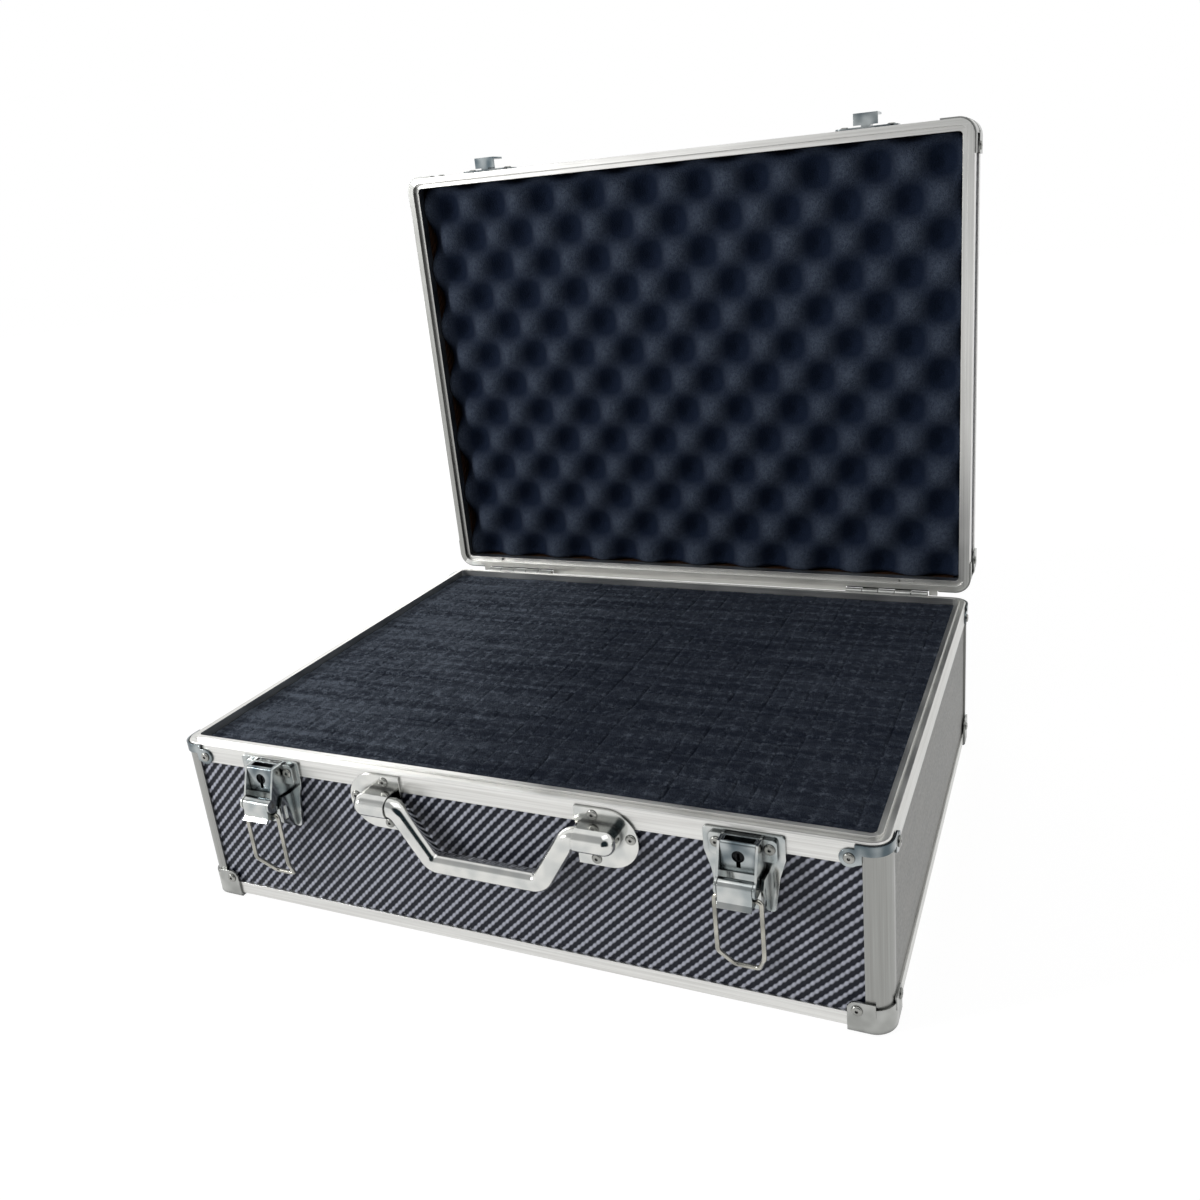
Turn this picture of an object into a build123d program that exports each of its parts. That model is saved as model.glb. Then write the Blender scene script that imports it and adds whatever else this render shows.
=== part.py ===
from build123d import *
import math
import os

# The case stands on the floor, z = 0. The front, with the handle and latches, faces -Y, and the lid
# stands open at a right angle. Every piece is drawn about the middle of the base's footprint, the
# lid's closed, and set back by row_middle when it is written, so that the origin lies under the
# middle of the open case. All sizes are in millimetres.

# Overall sizes
case_width = 455.0
case_depth = 340.0
foot_drop = 2.0
base_height = 112.0
lid_height = 40.0
rim_gap = 0.4
corner_radius = 11.0

# Wall build-up: an aluminium skin, a board behind it and an inner leg of the rim
metal = 1.4
board = 5.0
rim_width = 8.0
rim_face = 12.5
rim_inner_leg = 10.0
rim_web = 2.0
rim_head = 4.4
rim_nose = 0.7
ledge = 4.9
tongue_rise = 1.6
lid_land = 4.4
lid_step = 2.4
lid_slot_in = 6.2
lid_slot_aside = 15.0
lid_slot_half_length = 6.0
lid_slot_half_width = 1.3

# Edge profiles, posts and corner pieces
edge_face = 9.0
edge_foot = 10.0
edge_nose = 0.8
floor_board = 4.0
post_flange = 13.5
post_core = 11.4
post_gap = 0.5
cap_wall = 1.3
cap_reach = 23.0
cap_height = 16.0
cap_foot = 0.9
cap_foot_lean = 40.0
cap_crown = 0.4
ear_drop = 2.0
bracket_wall = 1.1
bracket_reach = 25.0
bracket_height = 6.6
bracket_band = 17.0
bracket_below = 0.8
bracket_ear_below = 8.6
strap_reach = 10.0
ear_radius = 5.2
skin_gap = 0.02
fit_gap = 0.1

# Foam
foam_gap = 8.4
foam_drop = 3.0
pad_thickness = 15.0
lid_foam_drop = 6.0

# Hinges: the pin lies behind the base and a little below the rim
hinge_back = 3.6
hinge_below = 1.7
hinge_centre = 165.0
hinge_length = 64.0
knuckle_radius = 3.2
knuckles = 5
knuckle_gap = 0.5
knuckle_clear = 0.4
leaf_neck = 2.4
leaf_stand_off = 0.5
pin_radius = 1.5
pin_clearance = 0.05
leaf_thickness = 1.3
leaf_height = 18.0
leaf_rivet_step = 24.0
leaf_rivet_drop = 2.0
lid_open_angle = 90.0
lid_lip_out = 4.0
lid_lip_thickness = 1.4
lid_lip_clear = 0.6

# Latches: a riveted plate with a raised middle, slotted ribs and arms that hold the lever
latch_centre = 153.8
plate_thickness = 1.4
plate_outline = ((22.0, 111.6), (22.0, 98.0), (18.6, 87.0), (15.4, 66.0))
plate_round = 2.2
step_half_width = 18.2
step_rise = 3.4
step_low = 97.0
step_high = 109.8
rib_inner = 11.5
rib_outer = 12.9
rib_outline = ((0.7, 90.0), (9.8, 90.8), (12.4, 86.0), (12.4, 74.5), (3.0, 66.7), (0.7, 66.7))
rib_slot = (8.0, 10.4, 75.0, 85.0)
lock_half_width = 9.3
lock_depth = 11.0
lock_bottom = 92.6
lock_top = 110.4
lock_axis_height = 102.8
lock_pocket = 3.8
lock_round = 1.6
lock_wall = 1.2
lock_face_wall = 2.2
lock_back_wall = 1.0
plug_radius = 3.3
plug_set_back = 0.8
plug_slot_half_width = 0.7
plug_slot_depth = 2.2
plug_slot_below = 2.6
plug_slot_above = 1.6
key_slot_low = 96.4
key_slot_half_width = 1.1
key_slot_depth = 6.0
arm_inner = 9.5
arm_outer = 10.9
arm_set_back = 0.6
lever_pivot_out = 16.5
lever_pivot_height = 88.6
lever_half_width = 9.2
lever_barrel = 4.2
lever_corner = 5.0
arm_lap = 0.2
lever_wall = 1.3
lever_flange = ((12.4, 88.0), (20.4, 88.0), (20.0, 81.0), (17.5, 78.6), (14.5, 78.8), (12.2, 82.0))
lever_tab = (
    (20.7, 88.6), (20.3, 84.6), (20.9, 81.8), (22.8, 79.4),
    (21.8, 78.4), (19.6, 81.0), (19.0, 84.6), (19.3, 88.6),
)
bail_pivot_out = 16.0
bail_pivot_height = 82.0
bail_half_width = 12.6
wire_radius = 1.3
bail_bend = (0.0, -34.0)
bail_end = (-9.0, -48.5)
bail_nose_half_width = 6.8
bail_turn = 2.4
bail_bend_turn = 6.0
bail_nose_turn = 3.4
bail_tip_gap = 0.6
latch_rivet_offset = 14.4
latch_rivet_height = 104.6

# Lid catches
catch_half_width = 22.0
catch_low = 117.2
catch_high = 136.0
catch_round = 5.0
catch_rivet_offset = 16.5
hook_height = 130.6
hook_out = 7.5
hook_low = 118.0
hook_rise = 4.2
hook_wall = 1.4
hook_play = 0.3
hook_foot = 6.5
hook_neck_half_width = 3.2
hook_head_half_width = 8.6

# Handle
handle_axis_height = 96.0
handle_axis_out = 8.4
mount_inner = 57.5
mount_centre = 76.5
mount_radius = 18.0
mount_height = 93.7
mount_rivets = ((68.5, 13.8), (68.5, -13.8), (90.2, 1.8))
cup_inner_end = 61.0
cup_outer_end = 78.0
cup_radius = 7.0
cup_wall = 1.4
stub_radius = 4.9
stub_end = 70.0
arm_top = 56.0
arm_bottom = 35.5
bend_radius = 8.2
elbow_end = 60.7
bar_height = 63.6
bar_section = (11.6, 12.4)
bar_round = 5.5

# Rivets
rivet_radius = 3.0
rivet_rise = 1.1
rivet_dome = 0.93
rivet_hole = 0.9
rivet_hole_floor = 0.4

# Places worked out from the sizes above
half_width = case_width / 2
half_depth = case_depth / 2
rim_top = foot_drop + base_height
lid_bottom = rim_top + rim_gap
lid_top = lid_bottom + lid_height
hinge_y = half_depth + hinge_back
hinge_z = rim_top - hinge_below
board_in = metal + board
floor_top = foot_drop + metal + floor_board
foam_top = rim_top - foam_drop
latch_front = half_depth + max(reach for reach, height in lever_tab)
lid_back = hinge_y + lid_top + cap_wall - hinge_z
row_middle = (lid_back - latch_front) / 2


def block(x0, x1, y0, y1, z0, z1):
    """A box given by its two corners."""
    centre = Pos((x0 + x1) / 2, (y0 + y1) / 2, (z0 + z1) / 2)
    return centre * Box(x1 - x0, y1 - y0, z1 - z0)


def case_prism(inset, z0, z1, taper=0.0):
    """The case's rounded outline, drawn in by an inset, from one height to another."""
    radius = max(corner_radius - inset, 2.0)
    outline = RectangleRounded(case_width - 2 * inset, case_depth - 2 * inset, radius)
    return extrude(Pos(0, 0, z0) * outline, amount=z1 - z0, taper=taper)


def case_frame(inset, inner_inset, z0, z1):
    """A closed band that runs round the case between two insets."""
    return case_prism(inset, z0, z1) - case_prism(inner_inset, z0 - 1, z1 + 1)


def side_wedge(side):
    """The quarter of the plan that belongs to one side, cut off at 45 degrees."""
    over = 6.0
    reach = 60.0
    x_out = half_width + over
    y_out = half_depth + over
    x_in = half_width - reach
    y_in = half_depth - reach
    outlines = {
        "front": [(-x_out, -y_out), (x_out, -y_out), (x_in, -y_in), (-x_in, -y_in)],
        "back": [(-x_out, y_out), (-x_in, y_in), (x_in, y_in), (x_out, y_out)],
        "left": [(-x_out, -y_out), (-x_in, -y_in), (-x_in, y_in), (-x_out, y_out)],
        "right": [(x_out, -y_out), (x_out, y_out), (x_in, y_in), (x_in, -y_in)],
    }
    face = make_face(Polyline(*outlines[side], close=True))
    return extrude(Pos(0, 0, -10) * face, amount=lid_top + 30)


def at_corners(shape):
    """Four copies of a shape built at the front right corner, by corner name."""
    left = mirror(shape, about=Plane.YZ)
    return {
        "front_right": shape,
        "front_left": left,
        "back_right": mirror(shape, about=Plane.XZ),
        "back_left": mirror(left, about=Plane.XZ),
    }


def corner_box(reach, z0, z1, over=5.0):
    """A square block at the front right corner, reaching in from both faces."""
    return block(half_width - reach, half_width + over, -half_depth - over, -half_depth + reach, z0, z1)


def base_rim_ring():
    """The base's rim profile: an outer face, a ledge, a raised tongue and an inner leg."""
    face_low = rim_top - rim_face
    face_break = rim_top - rim_head
    nose = rim_top - rim_nose
    lean = math.degrees(math.atan(rim_nose / (nose - face_break)))
    outer = case_prism(0, face_low, face_break)
    outer += case_prism(0, face_break, nose, taper=lean)
    outer += case_prism(rim_nose, nose, rim_top, taper=45)
    ring = outer - case_prism(metal, face_low - 1, rim_top - rim_web)
    ring -= case_prism(rim_width, face_low - 1, rim_top + 5)
    ring += case_frame(board_in, rim_width, rim_top - rim_inner_leg, rim_top - rim_web)
    ring += case_frame(ledge, rim_width, rim_top - rim_web, rim_top + tongue_rise)
    for corner in at_corners(corner_box(post_flange + post_gap, 0, rim_top - bracket_height)).values():
        ring -= corner
    return ring


def base_rim(side):
    """One side's length of the base's rim profile, mitred at its ends."""
    return base_rim_ring() & side_wedge(side)


def base_edge(side):
    """One side's length of the angle that closes the base's bottom edge."""
    ring = case_frame(0, metal, foot_drop + edge_nose, foot_drop + edge_face)
    ring += case_prism(edge_nose, foot_drop, foot_drop + metal) - case_prism(edge_foot, 0, rim_top)
    return ring & side_wedge(side)


def base_panel(side):
    """A side board of the base, held between the floor board, two posts and the rim."""
    z0 = floor_top
    z1 = rim_top - rim_web
    x = half_width - post_core - fit_gap
    y = half_depth - post_core - fit_gap
    panels = {
        "front": block(-x, x, -half_depth + metal, -half_depth + board_in, z0, z1),
        "back": block(-x, x, half_depth - board_in, half_depth - metal, z0, z1),
        "left": block(-half_width + metal, -half_width + board_in, -y, y, z0, z1),
        "right": block(half_width - board_in, half_width - metal, -y, y, z0, z1),
    }
    return panels[side]


def base_floor():
    """The floor board, inside the bottom edge angles."""
    return case_prism(metal + fit_gap, foot_drop + metal, floor_top)


def corner_post():
    """The rounded corner post at the front right: outer flanges, a core and inner flanges."""
    z0 = foot_drop + edge_face
    z1 = rim_top - bracket_height
    core = case_frame(0, rim_width, z0, z1) & corner_box(post_core, z0, z1)
    flange = case_frame(0, metal, z0, z1) & corner_box(post_flange, z0, z1)
    inner = case_frame(board_in, rim_width, z0, z1) & corner_box(post_flange + post_gap - fit_gap, z0, z1)
    return core + flange + inner


def ear(x, z, width_to, thickness):
    """A pear-shaped ear on the front face that ends in a round about its rivet."""
    round_end = Pos(x, z) * Circle(ear_radius)
    bridge = make_face(
        Polyline(
            (x, z + ear_radius),
            (width_to, z + ear_radius),
            (width_to, z - ear_radius * 0.55),
            (x, z - ear_radius),
            close=True,
        )
    )
    outline = Plane.XZ.offset(half_depth + skin_gap) * (round_end + bridge)
    return extrude(outline, amount=thickness - skin_gap)


def turned_to_side(shape):
    """A shape on the front face near the right corner, swapped onto the right face."""
    swapped = mirror(shape, about=Plane((half_width, -half_depth, 0), z_dir=(1, 1, 0)))
    return swapped


def rim_bracket():
    """The pressed bracket round a top corner of the base, with an ear on each face."""
    z0 = rim_top - bracket_height
    z1 = rim_top - bracket_below
    band = case_prism(-bracket_wall, z0, z1) - case_prism(-skin_gap, z0 - 1, z1 + 1)
    band &= corner_box(bracket_band, z0, z1)
    ear_x = half_width - bracket_reach + ear_radius
    front = ear(ear_x, rim_top - bracket_ear_below, half_width - post_flange, bracket_wall)
    front -= block(half_width - post_flange, half_width + 9, -half_depth - 9, half_depth, 0, z0)
    return band + front + turned_to_side(front)


def bottom_corner():
    """The pressed cap on a bottom corner, which the case stands on."""
    shell = case_prism(-cap_wall, cap_foot, cap_height)
    shell += case_prism(-cap_wall + cap_foot, 0, cap_foot, taper=-cap_foot_lean)
    shell &= corner_box(cap_reach, -1, cap_height)
    shell -= case_prism(-skin_gap, foot_drop, cap_height + 1)
    ear_x = half_width - cap_reach + ear_radius
    front = ear(ear_x, cap_height - ear_drop, half_width - rim_width, cap_wall)
    return shell + front + turned_to_side(front)


def pluck_foam():
    """The block of pick-and-pluck foam that fills the base."""
    z0 = floor_top + pad_thickness + fit_gap
    return case_prism(foam_gap, z0, foam_top)


def foam_pad():
    """The plain foam sheet under the pick-and-pluck block."""
    return case_prism(foam_gap, floor_top + fit_gap, floor_top + pad_thickness)


def lid_rim_ring():
    """The lid's rim profile, closed: an outer land and a step that clears the tongue."""
    ring = case_frame(0, metal, lid_bottom, lid_bottom + rim_face)
    ring += case_frame(0, lid_land, lid_bottom, lid_bottom + rim_head)
    ring += case_frame(0, rim_width, lid_bottom + lid_step, lid_bottom + rim_head)
    ring += case_frame(board_in, rim_width, lid_bottom + lid_step, lid_bottom + rim_inner_leg)
    return ring


def lid_rim(side):
    """One side's length of the lid's rim profile."""
    part = lid_rim_ring() & side_wedge(side)
    if side != "back":
        return part
    length = lid_slot_half_length
    y0 = half_depth - lid_slot_in - lid_slot_half_width
    y1 = half_depth - lid_slot_in + lid_slot_half_width
    for x in (-hinge_centre - lid_slot_aside, hinge_centre + lid_slot_aside):
        part -= block(x - length, x + length, y0, y1, lid_bottom, lid_bottom + rim_head - fit_gap)
    # A lip closes the gap behind the base when the lid is up, and leaves out the hinges and the corners.
    y0 = half_depth - metal
    y1 = half_depth + lid_lip_out
    inner = hinge_centre - hinge_length / 2 - lid_lip_clear
    outer = hinge_centre + hinge_length / 2 + lid_lip_clear
    end = half_width - cap_reach - lid_lip_clear
    for x0, x1 in ((-end, -outer), (-inner, inner), (outer, end)):
        part += block(x0, x1, y0, y1, lid_bottom, lid_bottom + lid_lip_thickness)
    return part


def lid_walls():
    """The four low side boards of the lid."""
    z0 = lid_bottom + rim_head
    z1 = lid_top - metal - floor_board
    x = half_width - post_flange - fit_gap
    y = half_depth - post_flange - fit_gap
    inset = board_in - fit_gap
    return [
        block(-x, x, -half_depth + metal, -half_depth + inset, z0, z1),
        block(-x, x, half_depth - inset, half_depth - metal, z0, z1),
        block(-half_width + metal, -half_width + inset, -y, y, z0, z1),
        block(half_width - inset, half_width - metal, -y, y, z0, z1),
    ]


def lid_edges():
    """The four angles that close the lid's top edge."""
    ring = case_frame(0, metal, lid_top - edge_face, lid_top - edge_nose)
    ring += case_frame(edge_nose, edge_foot, lid_top - metal, lid_top)
    return [ring & side_wedge(side) for side in ("front", "back", "left", "right")]


def lid_panel():
    """The lid's top board, inside the edge angles."""
    return case_prism(metal + fit_gap, lid_top - metal - floor_board, lid_top - metal)


def lid_corner():
    """The rounded corner piece of the lid: a post with flanges and a pressed cap on top."""
    z0 = lid_bottom + rim_face
    z1 = lid_top - edge_face
    post = case_frame(0, metal, z0, z1) & corner_box(post_flange, z0, z1)
    cap_low = lid_top - cap_height
    crown = lid_top + cap_crown
    cap = case_prism(-cap_wall, cap_low, crown)
    cap += case_prism(-cap_wall, crown, lid_top + cap_wall, taper=45)
    cap &= corner_box(cap_reach, cap_low, lid_top + 2 * cap_wall)
    cap -= case_prism(-skin_gap, cap_low - 1, lid_top + skin_gap)
    ear_x = half_width - cap_reach + ear_radius
    front = ear(ear_x, cap_low + ear_drop, half_width - rim_width, cap_wall)
    band = case_prism(-bracket_wall, lid_bottom + bracket_below, lid_bottom + bracket_height)
    band -= case_prism(-skin_gap, lid_bottom - 1, lid_bottom + rim_face)
    band &= corner_box(cap_reach, lid_bottom, lid_bottom + rim_face)
    strap = case_prism(-bracket_wall, lid_bottom + bracket_height - 1, cap_low + 1)
    strap -= case_prism(-skin_gap, lid_bottom, lid_top)
    strap &= corner_box(strap_reach, lid_bottom, lid_top)
    return [post - strap, cap + front + turned_to_side(front) + band + strap]


def lid_foam():
    """The block that the egg-crate foam of the lid fills."""
    return case_prism(foam_gap, lid_bottom + lid_foam_drop, lid_top - metal - floor_board - fit_gap)


def catch():
    """A lid catch, closed: a riveted plate and a T-shaped hook that the wire drops behind."""
    plate = Plane.XZ.offset(half_depth) * Pos(0, (catch_low + catch_high) / 2)
    outline = plate * RectangleRounded(2 * catch_half_width, catch_high - catch_low, catch_round)
    body = extrude(outline, amount=plate_thickness)
    saddle = hook_height - wire_radius - hook_play
    inner = -half_depth - hook_out - wire_radius - hook_play
    outer = inner - hook_wall
    head = hook_head_half_width
    neck = hook_neck_half_width
    body += block(-neck, neck, outer, -half_depth, hook_low, saddle)
    lip = block(-head, head, outer, inner, hook_low, saddle + hook_rise)
    body += fillet(lip.edges().filter_by(Axis.Y), hook_wall / 2)
    body += block(-head, head, outer, inner + hook_foot, hook_low, hook_low + hook_wall)
    return body


def hinge_leaf(parts, leaf_low, leaf_high, sign):
    """A hinge leaf with its share of the knuckles, the lid closed."""
    pitch = hinge_length / knuckles
    bore = Cylinder(pin_radius + pin_clearance, hinge_length + 2, rotation=(0, 90, 0))
    half = hinge_length / 2
    leaf = block(-half, half, half_depth, half_depth + leaf_thickness, leaf_low, leaf_high)
    for index in parts:
        x = (index - (knuckles - 1) / 2) * pitch
        length = pitch - knuckle_gap
        barrel = Pos(x, hinge_y, hinge_z) * Cylinder(knuckle_radius, length, rotation=(0, 90, 0))
        neck_far = hinge_z + sign * (knuckle_radius + leaf_neck)
        neck_z = sorted((hinge_z, neck_far))
        y0 = half_depth + leaf_stand_off
        neck = block(x - length / 2, x + length / 2, y0, y0 + leaf_thickness, *neck_z)
        leaf += barrel + neck
    return leaf - Pos(0, hinge_y, hinge_z) * bore


def hinge_base_leaf():
    """The leaf riveted to the back of the base, with three knuckles."""
    top = hinge_z - knuckle_radius - knuckle_clear
    return hinge_leaf((0, 2, 4), top - leaf_height, top, -1)


def hinge_lid_leaf():
    """The leaf riveted to the back of the lid, with two knuckles."""
    low = hinge_z + knuckle_radius + knuckle_clear
    return hinge_leaf((1, 3), low, low + leaf_height, 1)


def hinge_pin():
    """The pin through one hinge's knuckles."""
    return Pos(0, hinge_y, hinge_z) * Cylinder(pin_radius, hinge_length, rotation=(0, 90, 0))


def rivet():
    """A domed rivet head with a pierced centre, standing up from z = 0."""
    head = Cylinder(rivet_radius, rivet_rise, align=(Align.CENTER, Align.CENTER, Align.MIN))
    head = fillet(head.edges().sort_by(Axis.Z)[-1], rivet_dome)
    hole = Cylinder(rivet_hole, rivet_rise, align=(Align.CENTER, Align.CENTER, Align.MIN))
    return head - Pos(0, 0, rivet_hole_floor) * hole


def rivet_at(x, y, z, facing):
    """A rivet head on a wall that faces front, back, left or right."""
    turns = {"front": (90, 0, 0), "back": (-90, 0, 0), "left": (0, -90, 0), "right": (0, 90, 0)}
    return Pos(x, y, z) * Rot(*turns[facing]) * rivet()


def corner_rivets(reach, z, out):
    """The two rivets of a corner piece at each of the four corners."""
    inset = reach - ear_radius
    rivets = []
    for x_sign in (-1, 1):
        for y_sign in (-1, 1):
            x = x_sign * (half_width - inset)
            y = y_sign * (half_depth + out)
            rivets.append(rivet_at(x, y, z, "front" if y_sign < 0 else "back"))
            x = x_sign * (half_width + out)
            y = y_sign * (half_depth - inset)
            rivets.append(rivet_at(x, y, z, "left" if x_sign < 0 else "right"))
    return rivets


def hinge_rivets(z):
    """The three rivets of each hinge leaf at one height."""
    steps = (-leaf_rivet_step, 0, leaf_rivet_step)
    places = [side * hinge_centre + step for side in (-1, 1) for step in steps]
    return [rivet_at(x, half_depth + leaf_thickness, z, "back") for x in places]


def base_rivets():
    """Every rivet head on the base."""
    rivets = corner_rivets(bracket_reach, rim_top - bracket_ear_below, bracket_wall)
    rivets += corner_rivets(cap_reach, cap_height - ear_drop, cap_wall)
    rivets += hinge_rivets(hinge_z - knuckle_radius - knuckle_clear - leaf_height / 2 - leaf_rivet_drop)
    for side in (-1, 1):
        for offset in (-latch_rivet_offset, latch_rivet_offset):
            x = side * latch_centre + offset
            rivets.append(rivet_at(x, -half_depth - step_rise, latch_rivet_height, "front"))
        for x, z in mount_rivets:
            rivets.append(rivet_at(side * x, -half_depth - plate_thickness, mount_height + z, "front"))
    return rivets


def lid_rivets():
    """Every rivet head on the lid, closed."""
    rivets = corner_rivets(cap_reach, lid_top - cap_height + ear_drop, cap_wall)
    rivets += hinge_rivets(hinge_z + knuckle_radius + knuckle_clear + leaf_height / 2 + leaf_rivet_drop)
    plate = -half_depth - plate_thickness
    for side in (-1, 1):
        for offset in (-catch_rivet_offset, catch_rivet_offset):
            x = side * latch_centre + offset
            rivets.append(rivet_at(x, plate, (catch_low + catch_high) / 2, "front"))
    return rivets


def on_front(outline, out, thickness):
    """A flat outline in X and Z, raised from a plane in front of the front face."""
    return extrude(Plane.XZ.offset(half_depth + out) * outline, amount=thickness)


def side_profile(points, x0, x1):
    """A solid of constant section, its outline given as pairs of reach and height."""
    outline = [(-half_depth - reach, height) for reach, height in points]
    face = make_face(Polyline(*outline, close=True))
    return extrude(Plane.YZ.offset(x0) * face, amount=x1 - x0)


def cross_rod(reach, height, radius, x0, x1):
    """A round rod along X in front of the front face."""
    centre = Pos((x0 + x1) / 2, -half_depth - reach, height)
    return centre * Cylinder(radius, x1 - x0, rotation=(0, 90, 0))


def both_sides(shape):
    """A shape and its mirror image about the middle of a latch."""
    return [shape, mirror(shape, about=Plane.YZ)]


def latch_plate():
    """The riveted plate of a latch: its raised middle, slotted ribs and lever arms."""
    right = list(plate_outline)
    left = [(-x, z) for x, z in reversed(right)]
    outline = make_face(Polyline(*right, *left, close=True))
    body = on_front(fillet(outline.vertices(), plate_round), 0, plate_thickness)
    step = Pos(0, (step_low + step_high) / 2) * Rectangle(2 * step_half_width, step_high - step_low)
    body += on_front(fillet(step.vertices(), plate_round), 0, step_rise)
    slot = rib_slot
    rib = side_profile(rib_outline, rib_inner, rib_outer)
    slot_y = (-half_depth - slot[1], -half_depth - slot[0])
    rib -= block(rib_inner - 1, rib_outer + 1, *slot_y, slot[2], slot[3])
    lap = lever_barrel + arm_lap
    low = lever_pivot_height - lap
    front = lock_depth - arm_set_back
    high = low + 2 * lap
    out = lever_pivot_out
    arm_outline = [(1, lock_top), (front, lock_top), (out, high), (out, low), (1, low)]
    arm = side_profile(arm_outline, arm_inner, arm_outer)
    arm += cross_rod(lever_pivot_out, lever_pivot_height, lap, arm_inner, arm_outer)
    arm -= cross_rod(lever_pivot_out, lever_pivot_height, pin_radius, arm_inner - 1, arm_outer + 1)
    for solid in both_sides(rib) + both_sides(arm):
        body += solid
    return body


def lock_housing():
    """The raised lock body: a hollow top, a round bore and a key slot below it."""
    front = -half_depth - lock_depth
    back = -half_depth - step_rise
    half = lock_half_width
    body = block(-half, half, front, back, lock_bottom, lock_top)
    body = fillet(body.edges().filter_by(Axis.X).sort_by(Axis.Y)[:2], lock_round)
    wide = half - lock_wall
    low = lock_top - lock_pocket
    pocket = block(-wide, wide, front + lock_face_wall, back - lock_back_wall, low, lock_top + 1)
    hole = Pos(0, front, lock_axis_height) * Cylinder(plug_radius + pin_clearance, 40, rotation=(90, 0, 0))
    narrow = key_slot_half_width
    slot = block(-narrow, narrow, front - 1, front + key_slot_depth, key_slot_low, lock_axis_height)
    return body - pocket - hole - slot


def lock_plug():
    """The lock's turning plug, set back in its bore, with a key slot."""
    front = -half_depth - lock_depth + plug_set_back
    back = -half_depth - step_rise - 3 * fit_gap
    middle = Pos(0, (front + back) / 2, lock_axis_height)
    plug = middle * Cylinder(plug_radius, back - front, rotation=(90, 0, 0))
    narrow = plug_slot_half_width
    low = lock_axis_height - plug_slot_below
    high = lock_axis_height + plug_slot_above
    return plug - block(-narrow, narrow, front - 1, front + plug_slot_depth, low, high)


def lever():
    """The toggle lever: a rolled barrel, two side flanges and a curled finger tab."""
    half = lever_half_width
    body = cross_rod(lever_pivot_out, lever_pivot_height, lever_barrel, -half, half)
    for solid in both_sides(side_profile(lever_flange, half - lever_wall, half)):
        body += solid
    tab = side_profile(lever_tab, -half, half)
    corners = Pos(0, lever_pivot_height) * RectangleRounded(2 * half, 30, lever_corner)
    body += tab & on_front(corners, 0, 40)
    body -= cross_rod(lever_pivot_out, lever_pivot_height, pin_radius + pin_clearance, -20, 20)
    body -= cross_rod(bail_pivot_out, bail_pivot_height, wire_radius + pin_clearance, -20, 20)
    return body


def bail():
    """The wire bail: two turned-in ends, two legs and a narrowed nose, bent at its end."""

    def point(x, offset):
        return (x, -half_depth - bail_pivot_out - offset[0], bail_pivot_height + offset[1])

    end_in = lever_half_width - lever_wall - bail_tip_gap
    points = [
        point(-end_in, (0, 0)),
        point(-bail_half_width, (0, 0)),
        point(-bail_half_width, bail_bend),
        point(-bail_nose_half_width, bail_end),
        point(bail_nose_half_width, bail_end),
        point(bail_half_width, bail_bend),
        point(bail_half_width, (0, 0)),
        point(end_in, (0, 0)),
    ]
    turns = [bail_turn, bail_bend_turn, bail_nose_turn]
    path = FilletPolyline(*points, radius=turns + turns[::-1])
    section = Plane(origin=path @ 0, z_dir=path % 0) * Circle(wire_radius)
    return sweep(section, path=path)


def latch_pin():
    """The pin through a latch's cheeks and lever."""
    return cross_rod(lever_pivot_out, lever_pivot_height, pin_radius, -arm_outer, arm_outer)


def handle_mount():
    """The right handle plate: a D-shaped plate with a pressed cup for the handle's end."""
    flat = make_face(
        Polyline(
            (mount_inner, mount_height - mount_radius),
            (mount_centre, mount_height - mount_radius),
            (mount_centre, mount_height + mount_radius),
            (mount_inner, mount_height + mount_radius),
            close=True,
        )
    )
    outline = flat + Pos(mount_centre, mount_height) * Circle(mount_radius)
    body = on_front(outline, 0, plate_thickness)
    cup = cup_solid(cup_radius, cup_inner_end) - cup_solid(cup_radius - cup_wall, cup_inner_end - 1)
    cup -= block(0, 200, -half_depth, half_depth, 0, 200)
    return body - cup_solid(cup_radius - cup_wall, cup_inner_end - 1) + cup


def cup_solid(radius, inner_end):
    """The outside of the handle cup: a round-ended boss that stands on the plate."""
    rod = cross_rod(handle_axis_out, handle_axis_height, radius, inner_end, cup_outer_end)
    ball = Pos(cup_outer_end, -half_depth - handle_axis_out, handle_axis_height) * Sphere(radius)
    front = -half_depth - handle_axis_out
    back = -half_depth - plate_thickness / 2
    low = handle_axis_height - radius
    root = block(inner_end, cup_outer_end, front, back, low, low + 2 * radius)
    root_end = Cylinder(radius, back - front, rotation=(90, 0, 0))
    return rod + ball + root + Pos(cup_outer_end, (front + back) / 2, handle_axis_height) * root_end


def handle():
    """The bent handle: a grip bar, two slanting arms that bend into line with the cups, and stubs."""
    y = -half_depth - handle_axis_out
    path = FilletPolyline(
        (-elbow_end, y, handle_axis_height),
        (-arm_top, y, handle_axis_height),
        (-arm_bottom, y, bar_height),
        (arm_bottom, y, bar_height),
        (arm_top, y, handle_axis_height),
        (elbow_end, y, handle_axis_height),
        radius=bend_radius,
    )
    end = Plane(origin=path @ 0, x_dir=(0, 1, 0), z_dir=path % 0)
    body = sweep(end * RectangleRounded(*bar_section, bar_round), path=path)
    for side in (-1, 1):
        ends = sorted((side * (elbow_end - 0.5), side * stub_end))
        body += cross_rod(handle_axis_out, handle_axis_height, stub_radius, *ends)
    return body


def opened(shape):
    """A closed lid piece, turned open about the hinge pin."""
    to_pin = Pos(0, hinge_y, hinge_z)
    return to_pin * Rot(-lid_open_angle, 0, 0) * to_pin.inverse() * shape


def moved_to(shape, x):
    """A shape built at the middle, set across to one side."""
    return Pos(x, 0, 0) * shape


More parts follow.
